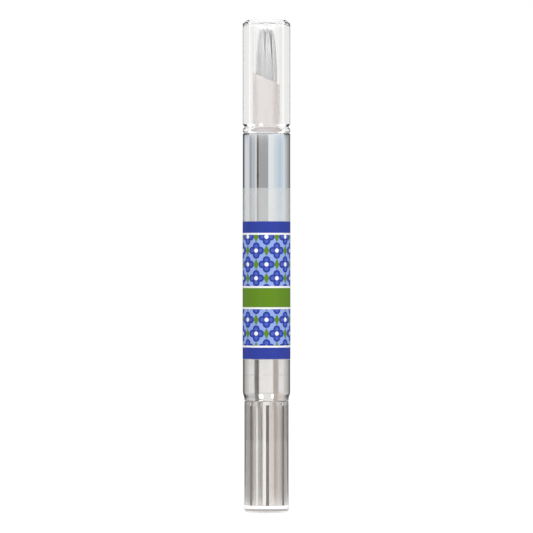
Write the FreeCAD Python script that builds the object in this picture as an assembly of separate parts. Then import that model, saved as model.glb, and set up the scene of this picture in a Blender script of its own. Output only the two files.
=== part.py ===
import FreeCAD, Part
import math
import os

# A twist-up oil pen that stands on its knob, in millimetres.
# Z runs up the pen's axis from the knob's foot, and -Y is the front.
# Turning the knob turns a screw with two flats. The screw climbs through a fixed nut and
# pushes a piston up the barrel, so oil rises through a feed tube into the bristles.

# Clearances between pieces
press_fit = 0.02            # a plug or ring held in a bore, on the radius
running_fit = 0.05          # a shaft that turns or slides in a bore, on the radius
thrust_gap = 0.1            # end play of the turning pieces
parting_gap = 0.15          # between the knob and the barrel
mouth_gap = 0.05            # between the cap's mouth and the collar

# Lead screw
screw_radius = 1.95
screw_flat = 1.45           # from the axis to each of the two flats
screw_neck_radius = 1.15
screw_head_radius = 1.6
screw_neck_length = 1.1
screw_head_length = 1.9
stop_thickness = 1.0        # foot flange that ends the travel
screw_end_gap = 0.55        # from the knob's floor to the screw when it is fully back
piston_travel = 38.0

# Drive sleeve
screw_room = 0.25           # air round the screw inside the sleeve
shank_wall = 1.75
hub_wall = 0.4              # from the sleeve's bore to the hub's flats
hub_step = 0.4              # from the hub's flats to its round sides
head_height = 3.6           # the keyed head stands this far into the nut
key_length = 2.5
flange_thickness = 1.1
flange_room = 0.4           # air round the thrust flange

# Click ratchet
pawl_count = 3
pawl_ring_wall = 0.4
pawl_slot = 0.2             # between an arm and the ring that carries it
pawl_thickness = 0.3
pawl_room = 0.16            # between an arm and the tooth tips
pawl_height = 2.6
pawl_tip_gap = 0.08
pawl_tip_start = 1.0        # angles along one arm, in degrees
pawl_tip_end = 11.0
pawl_root_start = 68.0
pawl_root_end = 78.0
tooth_count = 15
tooth_depth = 0.4
ratchet_wall = 0.5
ratchet_length = 3.0
skirt_gap = 0.12            # between the thrust flange and the skirt of the ratchet ring

# Nut and end bush
nut_thread_length = 4.5
nut_head_gap = 0.2
bush_length = 6.75

# Barrel
barrel_wall = 1.2
barrel_land = 0.65
barrel_taper = 1.4
knob_step = 0.425           # the knob is this much slimmer than the barrel, on the radius

# Piston
piston_fit = 0.03
piston_length = 6.5
piston_rest_gap = 0.4
piston_lip = 1.3
piston_waist = 0.4
piston_skirt_wall = 0.7
piston_boss_wall = 0.9
piston_web = 2.4
head_gap = 0.3              # left under the nozzle's plug when the piston is fully up

# Collar and label
collar_wall = 0.4
collar_lip = 0.5
collar_rim = 0.45
collar_length = 24.1
film_thickness = 0.05
film_length = 44.8
film_rise = 10.65           # from the barrel's lower end to the film's lower edge
film_seam = 0.6

# Applicator
tuft_radius = 2.82
tuft_reach = 27.45          # from the collar's top to the tip of the bristles
tuft_tip_width = 4.1
tuft_taper = 7.2            # length of the taper to the tip
tuft_crown_radius = 3.8
tuft_crown_offset = 0.35
button_step = 0.3           # fused root of the tuft, beyond its bristles
button_height = 1.5
button_rise = 2.4           # from the collar's top to the root
nozzle_wall = 0.65
nozzle_reach = 15.8         # from the collar's top to the high side of the slant
nozzle_slant = 25.2
seat_step = 0.6             # ring that the cap grips
seat_height = 1.1
shoulder_thickness = 1.0
plug_length = 3.3
seal_thickness = 0.5
tube_radius = 0.75
tube_wall = 0.3
tube_into_tuft = 4.5
retainer_inset = 0.3

# Cap
cap_grip = 1.15             # length of the land that grips the seat ring
cap_relief = 0.27           # the bore opens by this much above the land
cap_tip_gap = 0.75
cap_crown = 1.3
cap_chamfer_width = 1.15
cap_chamfer_height = 0.95
bead_inset = 0.45
bead_middle = 0.85
groove_depth = 0.55
groove_bottom = 1.6
groove_top = 2.25

# Knob
knob_floor = 1.85
knob_corner_width = 0.6
knob_corner_height = 1.0
knob_bore_gap = 0.1
recess_radius = 3.2
recess_depth = 0.3
rib_count = 6
rib_turn = 3.6              # from the front to the first rib, in degrees
rib_radius = 0.36
rib_gap = 0.05
rib_below_rim = 1.1

# Radii, from the screw outwards
sleeve_bore = screw_radius + screw_room
shank_radius = sleeve_bore + shank_wall
hub_flat = sleeve_bore + hub_wall
hub_radius = hub_flat + hub_step
head_radius = hub_flat - running_fit
pawl_bore = hub_radius + press_fit
pawl_ring_radius = pawl_bore + pawl_ring_wall
arm_inside = pawl_ring_radius + pawl_slot
arm_outside = arm_inside + pawl_thickness
tooth_tip = arm_outside + pawl_room
tooth_root = tooth_tip + tooth_depth
plug_radius = tooth_root + ratchet_wall
barrel_bore = plug_radius + press_fit
body_radius = barrel_bore + barrel_wall
neck_radius = body_radius - collar_wall - press_fit
knob_radius = body_radius - knob_step
knob_bore = shank_radius + knob_bore_gap
flange_radius = barrel_bore - flange_room
nozzle_bore = tuft_radius + press_fit
nozzle_radius = nozzle_bore + nozzle_wall
seat_radius = nozzle_radius + seat_step
button_radius = tuft_radius + button_step
rear_bore = button_radius + press_fit
cap_land_radius = seat_radius + running_fit
cap_bore = cap_land_radius + cap_relief

# Heights, from the knob's foot upwards
screw_foot = knob_floor + screw_end_gap
stop_top = screw_foot + stop_thickness
key_bottom = stop_top + piston_travel
nut_bottom = key_bottom + key_length - head_height
head_top = nut_bottom + head_height
ratchet_bottom = nut_bottom - ratchet_length
flange_top = ratchet_bottom - thrust_gap
flange_bottom = flange_top - flange_thickness
bush_top = flange_bottom - thrust_gap
barrel_bottom = bush_top - bush_length
knob_top = barrel_bottom - parting_gap
thread_bottom = head_top + nut_head_gap
nut_top = thread_bottom + nut_thread_length
hub_top = nut_bottom - thrust_gap
piston_bottom = nut_top + piston_rest_gap
piston_top = piston_bottom + piston_length
plug_bottom = piston_top + piston_travel + head_gap
barrel_top = plug_bottom + plug_length
shoulder_bottom = barrel_top + seal_thickness
shoulder_top = shoulder_bottom + shoulder_thickness
collar_top = shoulder_top + collar_lip
collar_bottom = collar_top - collar_length
screw_shoulder = piston_bottom - running_fit
film_bottom = barrel_bottom + film_rise
film_top = film_bottom + film_length
button_bottom = collar_top + button_rise
button_top = button_bottom + button_height
tuft_tip = collar_top + tuft_reach
nozzle_tip = collar_top + nozzle_reach
cap_mouth = collar_top + mouth_gap
cap_ceiling = tuft_tip + cap_tip_gap
cap_top = cap_ceiling + cap_crown
rib_top = knob_top - rib_below_rim

centre = FreeCAD.Vector(0, 0, 0)
up = FreeCAD.Vector(0, 0, 1)


def at(radius, height):
    """A point of a turned outline."""
    return FreeCAD.Vector(radius, 0, height)


def turned(*outline, sweep=360):
    """Revolve a closed outline of (radius, height) points about the pen's axis."""
    points = [at(*point) for point in outline]
    return Part.Face(Part.makePolygon(points + points[:1])).revolve(centre, up, sweep)


def eased(start, corner, end):
    """The middle point of a corner that is rounded in two flats, from start to end."""
    share = 1 - math.sqrt(0.5)
    return tuple(c + share * (a - c) + share * (b - c) for a, c, b in zip(start, corner, end))


def polar(radius, degrees, height=0.0):
    """A point at an angle about the pen's axis."""
    angle = math.radians(degrees)
    return FreeCAD.Vector(radius * math.cos(angle), radius * math.sin(angle), height)


def between_flats(radius, flat, bottom, top):
    """A round bar with two flats that face front and back."""
    bar = Part.makeCylinder(radius, top - bottom, at(0, bottom))
    slab = Part.makeBox(2 * radius, 2 * flat, top - bottom, FreeCAD.Vector(-radius, -flat, bottom))
    return bar.common(slab)


def ring_of_bars(radius, bottom, top):
    """The knob's ring of half-round ribs, or the grooves that take them."""
    bars = []
    for number in range(rib_count):
        foot = polar(knob_bore, 360 * number / rib_count + rib_turn - 90, bottom)
        bars.append(Part.makeCylinder(radius, top - bottom, foot))
    return bars


def make_knob():
    """Clear cup with a thick base, a shallow recess under it and ribs down its bore."""
    foot = (knob_radius - knob_corner_width, 0)
    side = (knob_radius, knob_corner_height)
    cup = turned(
        (0, recess_depth),
        (recess_radius, recess_depth),
        (recess_radius + recess_depth, 0),
        foot,
        eased(foot, (knob_radius, 0), side),
        side,
        (knob_radius, knob_top),
        (knob_bore, knob_top),
        (knob_bore, knob_floor),
        (0, knob_floor),
    )
    return cup.fuse(ring_of_bars(rib_radius, knob_floor, rib_top)).removeSplitter()


def make_drive_sleeve():
    """Long sleeve round the screw: splined tail, thrust flange, flatted hub and keyed head."""
    sleeve = turned(
        (sleeve_bore, knob_floor),
        (shank_radius, knob_floor),
        (shank_radius, flange_bottom),
        (flange_radius, flange_bottom),
        (flange_radius, flange_top),
        (hub_radius, flange_top),
        (hub_radius, hub_top),
        (head_radius, hub_top),
        (head_radius, head_top),
        (0, head_top),
        (0, key_bottom),
        (sleeve_bore, key_bottom),
    )
    hub_round = Part.makeCylinder(flange_radius, hub_top - flange_top, at(0, flange_top))
    hub = between_flats(hub_radius, hub_flat, flange_top, hub_top)
    key = between_flats(screw_radius + running_fit, screw_flat + running_fit, key_bottom, head_top)
    grooves = ring_of_bars(rib_radius + rib_gap, knob_floor, rib_top + rib_gap)
    return sleeve.cut([hub_round.cut(hub), key] + grooves)


def make_pawl_ring():
    """Ring keyed to the hub, with springy arms whose tips trail into the ratchet's teeth."""
    blank = Part.makeCylinder(pawl_ring_radius, pawl_height, at(0, flange_top))
    arms = []
    root_radius = pawl_ring_radius - pawl_ring_wall / 2
    tip_radius = tooth_root - pawl_tip_gap
    for number in range(pawl_count):
        turn = 360 * number / pawl_count
        corners = [
            polar(arm_inside, turn + pawl_tip_start, flange_top),
            polar(tip_radius, turn + pawl_tip_start, flange_top),
            polar(arm_outside, turn + pawl_tip_end, flange_top),
            polar(arm_outside, turn + pawl_root_end, flange_top),
            polar(root_radius, turn + pawl_root_end, flange_top),
            polar(root_radius, turn + pawl_root_start, flange_top),
            polar(arm_inside, turn + pawl_root_start, flange_top),
        ]
        outer_middle = polar(arm_outside, turn + (pawl_tip_end + pawl_root_end) / 2, flange_top)
        inner_middle = polar(arm_inside, turn + (pawl_tip_start + pawl_root_start) / 2, flange_top)
        edges = [
            Part.LineSegment(corners[0], corners[1]).toShape(),
            Part.LineSegment(corners[1], corners[2]).toShape(),
            Part.Arc(corners[2], outer_middle, corners[3]).toShape(),
            Part.LineSegment(corners[3], corners[4]).toShape(),
            Part.LineSegment(corners[4], corners[5]).toShape(),
            Part.LineSegment(corners[5], corners[6]).toShape(),
            Part.Arc(corners[6], inner_middle, corners[0]).toShape(),
        ]
        arms.append(Part.Face(Part.Wire(edges)).extrude(up * pawl_height))
    hub = between_flats(pawl_bore, hub_flat + press_fit, flange_top, flange_top + pawl_height)
    return blank.fuse(arms).cut(hub)


def make_ratchet_ring():
    """Ring pressed into the barrel: saw teeth for the pawls, and a skirt that stands on the bush."""
    pitch = 360 / tooth_count
    corners = []
    for number in range(tooth_count):
        corners.append(polar(tooth_root, number * pitch, ratchet_bottom))
        corners.append(polar(tooth_tip, (number + 1) * pitch, ratchet_bottom))
    saw = Part.Face(Part.makePolygon(corners + corners[:1])).extrude(up * ratchet_length)
    blank = Part.makeCylinder(plug_radius, nut_bottom - bush_top, at(0, bush_top))
    flange_pocket = Part.makeCylinder(flange_radius + skirt_gap, ratchet_bottom - bush_top, at(0, bush_top))
    return blank.cut([saw, flange_pocket])


def make_end_bush():
    """Bush pressed into the barrel's lower end, where it carries the drive sleeve."""
    return turned(
        (shank_radius + running_fit, barrel_bottom),
        (plug_radius, barrel_bottom),
        (plug_radius, bush_top),
        (shank_radius + running_fit, bush_top),
    )


def make_drive_nut():
    """Nut pressed into the barrel, with a pocket for the keyed head under its thread."""
    return turned(
        (head_radius + running_fit, nut_bottom),
        (plug_radius, nut_bottom),
        (plug_radius, nut_top),
        (screw_radius + running_fit, nut_top),
        (screw_radius + running_fit, thread_bottom),
        (head_radius + running_fit, thread_bottom),
    )


def make_lead_screw():
    """Screw with two flats, a stop at its foot and a barbed head that the piston snaps on."""
    stop = Part.makeCylinder(sleeve_bore - running_fit, stop_thickness, at(0, screw_foot))
    shaft = between_flats(screw_radius, screw_flat, stop_top, screw_shoulder)
    neck_top = screw_shoulder + screw_neck_length
    head_tip = neck_top + screw_head_length
    barb = turned(
        (0, screw_shoulder),
        (screw_neck_radius, screw_shoulder),
        (screw_neck_radius, neck_top),
        (screw_head_radius, neck_top),
        (screw_neck_radius, head_tip),
        (0, head_tip),
    )
    return shaft.fuse([stop, barb]).removeSplitter()


def make_piston():
    """Moulded piston with two wiping lips, an open skirt and a socket for the screw's head."""
    lip_radius = barrel_bore - piston_fit
    waist_radius = lip_radius - piston_waist
    skirt_inside = waist_radius - piston_skirt_wall
    socket_radius = screw_head_radius + running_fit
    boss_radius = socket_radius + piston_boss_wall
    entry_top = screw_shoulder + screw_neck_length - running_fit
    socket_top = screw_shoulder + screw_neck_length + screw_head_length + running_fit
    web_bottom = piston_top - piston_web
    return turned(
        (screw_neck_radius + running_fit, piston_bottom),
        (boss_radius, piston_bottom),
        (boss_radius, web_bottom),
        (skirt_inside, web_bottom),
        (skirt_inside, piston_bottom),
        (lip_radius, piston_bottom),
        (lip_radius, piston_bottom + piston_lip),
        (waist_radius, piston_bottom + piston_lip + piston_waist),
        (waist_radius, piston_top - piston_lip - piston_waist),
        (lip_radius, piston_top - piston_lip),
        (lip_radius, piston_top),
        (0, piston_top),
        (0, socket_top),
        (socket_radius, socket_top),
        (socket_radius, entry_top),
        (screw_neck_radius + running_fit, entry_top),
    )


def make_barrel():
    """Clear tube with a neck for the collar and a taper at the knob."""
    return turned(
        (barrel_bore, barrel_bottom),
        (knob_radius, barrel_bottom),
        (knob_radius, barrel_bottom + barrel_land),
        (body_radius, barrel_bottom + barrel_land + barrel_taper),
        (body_radius, collar_bottom),
        (neck_radius, collar_bottom),
        (neck_radius, barrel_top),
        (barrel_bore, barrel_top),
    )


def make_label_film():
    """Thin film wrapped round the barrel and the collar's foot, with its seam at the back."""
    seam_angle = math.degrees(film_seam / body_radius)
    film = turned(
        (body_radius, film_bottom),
        (body_radius + film_thickness, film_bottom),
        (body_radius + film_thickness, film_top),
        (body_radius, film_top),
        sweep=360 - seam_angle,
    )
    film.rotate(centre, up, 90 + seam_angle / 2)
    return film


def make_collar():
    """Drawn metal sleeve over the barrel's neck, turned in at the top to hold the nozzle."""
    side = (body_radius, collar_top - collar_rim)
    rim = (body_radius - collar_rim, collar_top)
    return turned(
        (body_radius - collar_wall, collar_bottom),
        (body_radius, collar_bottom),
        side,
        eased(side, (body_radius, collar_top), rim),
        rim,
        (seat_radius + press_fit, collar_top),
        (seat_radius + press_fit, shoulder_top),
        (body_radius - collar_wall, shoulder_top),
    )


def make_nozzle():
    """Moulded nozzle: plug, shoulder, seat ring and a slant-cut tube."""
    seat_top = collar_top + seat_height
    body = turned(
        (rear_bore, plug_bottom),
        (plug_radius, plug_bottom),
        (plug_radius, shoulder_bottom),
        (neck_radius, shoulder_bottom),
        (neck_radius, shoulder_top),
        (seat_radius, shoulder_top),
        (seat_radius, seat_top),
        (nozzle_radius, seat_top),
        (nozzle_radius, nozzle_tip),
        (nozzle_bore, nozzle_tip),
        (nozzle_bore, button_top),
        (rear_bore, button_top),
    )
    knife_side = 4 * nozzle_radius
    knife = Part.makeBox(knife_side, knife_side, knife_side, FreeCAD.Vector(0, -knife_side / 2, 0))
    knife.rotate(centre, FreeCAD.Vector(0, 1, 0), nozzle_slant)
    knife.translate(FreeCAD.Vector(-nozzle_radius, 0, nozzle_tip))
    return body.cut(knife)


def make_nozzle_seal():
    """Flat ring squeezed between the nozzle's shoulder and the barrel's mouth."""
    return turned(
        (plug_radius + press_fit, barrel_top),
        (neck_radius, barrel_top),
        (neck_radius, shoulder_bottom),
        (plug_radius + press_fit, shoulder_bottom),
    )


def make_tuft_retainer():
    """Plug behind the tuft's root, bored for the feed tube."""
    foot = plug_bottom + retainer_inset
    return turned(
        (tube_radius + press_fit, foot),
        (rear_bore - press_fit, foot),
        (rear_bore - press_fit, button_bottom),
        (tube_radius + press_fit, button_bottom),
    )


def make_feed_tube():
    """Fine tube from the reservoir into the heart of the tuft."""
    length = button_top + tube_into_tuft - plug_bottom
    foot = at(0, plug_bottom)
    tube = Part.makeCylinder(tube_radius, length, foot)
    return tube.cut(Part.makeCylinder(tube_radius - tube_wall, length, foot))


def make_bristle_tuft():
    """Bundle of bristles: fused root, round shaft, and a taper to a rounded tip."""
    tip_radius = tuft_tip_width / 2
    bore = tube_radius + press_fit
    bore_top = button_top + tube_into_tuft
    tuft = turned(
        (bore, button_bottom),
        (button_radius, button_bottom),
        (button_radius, button_top),
        (tuft_radius, button_top),
        (tuft_radius, tuft_tip - tuft_taper),
        (tip_radius, tuft_tip),
        (0, tuft_tip),
        (0, bore_top),
        (bore, bore_top),
    )
    crown_middle = FreeCAD.Vector(-tuft_crown_offset, -tuft_radius, tuft_tip - tuft_crown_radius)
    crown = Part.makeCylinder(tuft_crown_radius, 2 * tuft_radius, crown_middle, FreeCAD.Vector(0, 1, 0))
    above = Part.makeBox(
        4 * tuft_radius,
        2 * tuft_radius,
        2 * tuft_crown_radius,
        FreeCAD.Vector(-2 * tuft_radius, -tuft_radius, tuft_tip - tuft_crown_radius),
    )
    return tuft.cut(above.cut(crown))


def make_cap():
    """Clear cap with a chamfered top, a groove and bead at its mouth, and a land that grips."""
    mouth = (body_radius - bead_inset, cap_mouth)
    bead = (body_radius, cap_mouth + bead_middle)
    return turned(
        (cap_land_radius, cap_mouth),
        mouth,
        eased(mouth, (body_radius, cap_mouth), bead),
        bead,
        (body_radius - groove_depth, cap_mouth + groove_bottom),
        (body_radius, cap_mouth + groove_top),
        (body_radius, cap_top - cap_chamfer_height),
        (body_radius - cap_chamfer_width, cap_top),
        (0, cap_top),
        (0, cap_ceiling),
        (cap_bore, cap_ceiling),
        (cap_bore, cap_mouth + cap_grip + cap_relief),
        (cap_land_radius, cap_mouth + cap_grip),
    )


pieces = {
    "knob": make_knob,
    "drive_sleeve": make_drive_sleeve,
    "pawl_ring": make_pawl_ring,
    "ratchet_ring": make_ratchet_ring,
    "end_bush": make_end_bush,
    "drive_nut": make_drive_nut,
    "lead_screw": make_lead_screw,
    "piston": make_piston,
    "barrel": make_barrel,
    "label_film": make_label_film,
    "collar": make_collar,
    "applicator_nozzle": make_nozzle,
    "nozzle_seal": make_nozzle_seal,
    "tuft_retainer": make_tuft_retainer,
    "feed_tube": make_feed_tube,
    "bristle_tuft": make_bristle_tuft,
    "cap": make_cap,
}

os.makedirs("parts", exist_ok=True)
for name, make in pieces.items():
    solid = make()
    if len(solid.Solids) != 1 or not solid.isValid():
        raise ValueError(name + " is not one closed solid")
    solid.exportStep("parts/" + name + ".step")
    box = solid.optimalBoundingBox(False, False)
    print(f"{name:18} {solid.Volume:9.2f} mm3, z {box.ZMin:7.2f} to {box.ZMax:7.2f}, {box.XLength:5.2f} wide")
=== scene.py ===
import math
import random

import bmesh
import bpy
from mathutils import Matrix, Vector


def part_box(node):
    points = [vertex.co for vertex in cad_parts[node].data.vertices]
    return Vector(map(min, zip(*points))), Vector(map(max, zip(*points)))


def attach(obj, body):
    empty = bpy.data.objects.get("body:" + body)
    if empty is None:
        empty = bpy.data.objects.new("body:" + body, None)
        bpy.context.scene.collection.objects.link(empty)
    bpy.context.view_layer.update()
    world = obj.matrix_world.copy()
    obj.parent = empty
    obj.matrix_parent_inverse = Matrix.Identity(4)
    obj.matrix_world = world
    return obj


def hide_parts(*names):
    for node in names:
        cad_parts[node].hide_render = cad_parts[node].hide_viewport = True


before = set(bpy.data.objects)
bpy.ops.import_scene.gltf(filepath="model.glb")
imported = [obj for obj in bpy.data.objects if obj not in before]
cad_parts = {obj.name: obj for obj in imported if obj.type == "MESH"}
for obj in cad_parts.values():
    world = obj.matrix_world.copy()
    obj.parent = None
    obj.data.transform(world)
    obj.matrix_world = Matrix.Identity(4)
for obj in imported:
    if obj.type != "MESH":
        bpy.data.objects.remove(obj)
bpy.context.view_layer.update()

# Knob: a clear cup of styrene-acrylonitrile, injection moulded in a polished tool.
# It turns freely under the barrel, and six ribs down its bore key it to the drive sleeve.
# Its thick foot is the surface that the pen stands on.
mm = 0.001
knob_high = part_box("knob")[1] / mm
knob_radius = knob_high.x
knob_top = knob_high.z
knob_bore = 4.05
knob_floor = 1.85
knob_recess_radius = 3.2
knob_recess_depth = 0.3
knob_recess_rounding = 0.3
knob_foot_rounding = 0.8
knob_rim_rounding = 0.15
rib_count = 6
rib_pitch = 2 * math.pi / rib_count
rib_radius = 0.36
rib_turn = math.radians(3.6)
rib_setback = 1.1
rib_top = knob_top - rib_setback
rib_steps = 10
bore_steps = 20
front = math.radians(-90)
corner_steps = 6
corner_support = 0.03
sharp_angle = math.radians(40)


def rounded(*outline):
    """Points of an outline of (radius, height, rounding) corners, with an arc at each rounded one."""
    points = []
    for index, corner in enumerate(outline):
        here = Vector(corner[:2])
        rounding = corner[2] if len(corner) > 2 else 0
        if not rounding:
            points.append(here)
            continue
        before = (Vector(outline[index - 1][:2]) - here).normalized()
        after = (Vector(outline[(index + 1) % len(outline)][:2]) - here).normalized()
        half = before.angle(after) / 2
        middle = here + (before + after).normalized() * (rounding / math.sin(half))
        start = here + before * (rounding / math.tan(half))
        end = here + after * (rounding / math.tan(half))
        points.append(start + before * corner_support)
        for step in range(corner_steps + 1):
            points.append(middle + (start - middle).slerp(end - middle, step / corner_steps) * rounding)
        points.append(end + after * corner_support)
    return points


def around(radius, angle, height):
    """A point at an angle about the pen's axis."""
    return (radius * math.cos(angle), radius * math.sin(angle), height)


def ring(point, count, turn=0.0):
    """The ring that one point of an outline turns through, from the front, or the axis point itself."""
    radius, height = point
    if radius < 1e-6:
        return [(0, 0, height)]
    return [around(radius, front + turn + 2 * math.pi * step / count, height) for step in range(count)]


def mesh_piece(name, vertices, faces):
    """A piece of smooth faces that all look outwards, with sharp edges where they meet at an angle."""
    mesh = bpy.data.meshes.new(name)
    mesh.from_pydata(vertices, [], faces)
    form = bmesh.new()
    form.from_mesh(mesh)
    bmesh.ops.recalc_face_normals(form, faces=form.faces)
    form.to_mesh(mesh)
    form.free()
    mesh.shade_smooth()
    mesh.set_sharp_from_angle(angle=sharp_angle)
    piece = bpy.data.objects.new(name, mesh)
    bpy.context.scene.collection.objects.link(piece)
    return piece


def skin(name, rings, loop=False):
    """A piece through rings of points in millimetres. A loop joins the last ring to the first."""
    vertices = []
    starts = []
    for points in rings:
        starts.append(len(vertices))
        vertices.extend(Vector(point) * mm for point in points)
    faces = []
    for first in range(len(rings) if loop else len(rings) - 1):
        second = (first + 1) % len(rings)
        count = max(len(rings[first]), len(rings[second]))
        for step in range(count):
            low = [starts[first] + side % len(rings[first]) for side in (step, (step + 1) % count)]
            high = [starts[second] + side % len(rings[second]) for side in ((step + 1) % count, step)]
            faces.append(list(dict.fromkeys(low + high)))
    return mesh_piece(name, vertices, faces)


def fit(piece, body, node, slot, *materials):
    """Put a piece in the place of its node: it rides on the body and has its finish."""
    for material in materials:
        piece.data.materials.append(material)
    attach(piece, body)
    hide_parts(node)


def linear(colour):
    """An sRGB hex colour as the linear colour that a shader takes."""
    shares = [int(colour[start:start + 2], 16) / 255 for start in (1, 3, 5)]
    return [s / 12.92 if s <= 0.04045 else ((s + 0.055) / 1.055) ** 2.4 for s in shares] + [1]


def add(tree, kind, inputs, **settings):
    """Add a node with its settings, and give each input a value or a link from another node."""
    made = tree.nodes.new(kind)
    for name, value in settings.items():
        setattr(made, name, value)
    for name, value in inputs.items():
        if isinstance(value, bpy.types.NodeSocket):
            tree.links.new(value, made.inputs[name])
        else:
            made.inputs[name].default_value = value
    return made


def finish_of(name, values):
    """A new material with these values on its shader's sockets, and the parts that a pattern needs."""
    material = bpy.data.materials.new(name)
    material.use_nodes = True
    tree = material.node_tree
    shader = tree.nodes["Principled BSDF"]
    for socket, value in values.items():
        shader.inputs[socket].default_value = value
    place = tree.nodes.new("ShaderNodeTexCoord").outputs["Object"]
    return material, tree, shader, place


# Clear styrene-acrylonitrile from a polished mould: it bends light like glass and its skin is
# glossy, with a faint haze in soft patches, about 4 mm across, where the melt flowed.
haze_width = 4 * mm
clear_plastic, tree, shader, place = finish_of("clear_styrene_acrylonitrile", {
    "Base Color": linear("#ffffff"),
    "Transmission Weight": 1.0,
    "IOR": 1.57,
})
haze = add(tree, "ShaderNodeTexNoise", {"Vector": place, "Scale": 1 / haze_width, "Detail": 1.0})
haze = add(tree, "ShaderNodeMapRange", {"Value": haze.outputs["Fac"], "To Min": 0.0, "To Max": 0.03})
tree.links.new(haze.outputs["Result"], shader.inputs["Roughness"])


def rib_ring(height, bulge):
    """A ring round the knob's bore at one height, where the ribs stand in by a half round bulge."""
    points = []
    for number in range(rib_count):
        middle = front + rib_turn + rib_pitch * number
        edge = math.asin(bulge / knob_bore)
        for step in range(rib_steps):
            swing = math.pi * (step / rib_steps - 0.5)
            across = bulge * math.sin(swing)
            inward = bulge * math.cos(swing)
            radius = math.hypot(knob_bore - inward, across)
            points.append(around(radius, middle + math.atan2(across, knob_bore - inward), height))
        for step in range(bore_steps):
            bearing = middle + edge + (rib_pitch - 2 * edge) * step / bore_steps
            points.append(around(knob_bore, bearing, height))
    return points


knob_outline = rounded(
    (0, knob_recess_depth),
    (knob_recess_radius, knob_recess_depth, knob_recess_rounding),
    (knob_recess_radius + knob_recess_depth, 0, knob_recess_rounding),
    (knob_radius, 0, knob_foot_rounding),
    (knob_radius, knob_top, knob_rim_rounding),
    (knob_bore, knob_top, knob_rim_rounding),
    (knob_bore, knob_floor),
)[:-1]
knob_rings = [ring(point, rib_count * (rib_steps + bore_steps), rib_turn) for point in knob_outline]
dome_steps = 6
dome_tip = 0.01
for step in range(dome_steps):
    share = math.cos(math.pi / 2 * step / dome_steps)
    bulge = rib_radius * math.sin(math.acos(share)) + dome_tip
    knob_rings.append(rib_ring(rib_top - rib_radius * (1 - share), bulge))
knob_rings.append(rib_ring(rib_top - rib_radius, rib_radius))
knob_rings.append(rib_ring(knob_floor, rib_radius))
knob_rings.append([(0, 0, knob_floor)])
knob = skin("clear_knob", knob_rings)
fit(knob, "knob", "knob", "clear_styrene", clear_plastic)


# Drive sleeve: a moulded sleeve whose tail fits close in the knob, with vacuum-plated silver lands.
# Its grooves take the knob's ribs and stay bare, its flange runs on the end bush, and its keyed
# head turns the screw.
sleeve_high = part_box("drive_sleeve")[1] / mm
flange_radius = sleeve_high.x
head_top = sleeve_high.z
sleeve_bore = 2.2
shank_radius = 3.95
# Plated pieces are drawn this far into the clear plastic round them, so that no film of air shows.
wetted = 0.01
tail_radius = knob_bore + wetted
groove_radius = rib_radius - wetted
running_gap = 0.05
groove_top = rib_top + running_gap
groove_steps = 10
land_steps = 20
sleeve_count = rib_count * (groove_steps + land_steps)
sleeve_foot_gap = 0.03
sleeve_foot = knob_floor + sleeve_foot_gap
flange_bottom = 36.1
flange_top = 37.2
hub_radius = 3.0
hub_top = 40.2
head_radius = 2.55
key_radius = 2.0
key_bottom = 41.43
key_flat = 1.5
sleeve_rounding = 0.15

# Satin silver plating on plastic: a metal skin with a soft, slightly cloudy reflection.
cloud_width = 1.5 * mm
silvered_plastic, tree, shader, place = finish_of("vacuum_plated_plastic", {
    "Base Color": linear("#e3e1df"),
    "Metallic": 0.9,
})
cloud = add(tree, "ShaderNodeTexNoise", {"Vector": place, "Scale": 1 / cloud_width, "Detail": 3.0})
cloud = add(tree, "ShaderNodeMapRange", {"Value": cloud.outputs["Fac"], "To Min": 0.1, "To Max": 0.18})
tree.links.new(cloud.outputs["Result"], shader.inputs["Roughness"])

# The bare plastic in the grooves: mid grey and satin, with a fine mould grain.
grain_width = 0.3 * mm
bare_plastic, tree, shader, place = finish_of("bare_grey_plastic", {
    "Base Color": linear("#8d8681"),
    "IOR": 1.53,
})
grain = add(tree, "ShaderNodeTexNoise", {"Vector": place, "Scale": 1 / grain_width, "Detail": 3.0})
grain = add(tree, "ShaderNodeMapRange", {"Value": grain.outputs["Fac"], "To Min": 0.3, "To Max": 0.45})
tree.links.new(grain.outputs["Result"], shader.inputs["Roughness"])


def groove_ring(height):
    """A ring round the sleeve's tail, with a round groove for each of the knob's ribs."""
    points = []
    squares = knob_bore**2 + groove_radius**2 - tail_radius**2
    swing_end = math.acos(squares / (2 * knob_bore * groove_radius))
    edge = math.atan2(groove_radius * math.sin(swing_end), knob_bore - groove_radius * math.cos(swing_end))
    for number in range(rib_count):
        middle = front + rib_turn + rib_pitch * number
        for step in range(groove_steps):
            swing = swing_end * (2 * step / groove_steps - 1)
            across = groove_radius * math.sin(swing)
            outward = knob_bore - groove_radius * math.cos(swing)
            bearing = middle + math.atan2(across, outward)
            points.append(around(math.hypot(outward, across), bearing, height))
        for step in range(land_steps):
            bearing = middle + edge + (rib_pitch - 2 * edge) * step / land_steps
            points.append(around(tail_radius, bearing, height))
    return points


def key_ring(height):
    """A ring round the key's bore, with the two flats that drive the screw."""
    points = []
    for x, y, z in ring((key_radius, height), sleeve_count):
        points.append((x, max(-key_flat, min(key_flat, y)), z))
    return points


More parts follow.
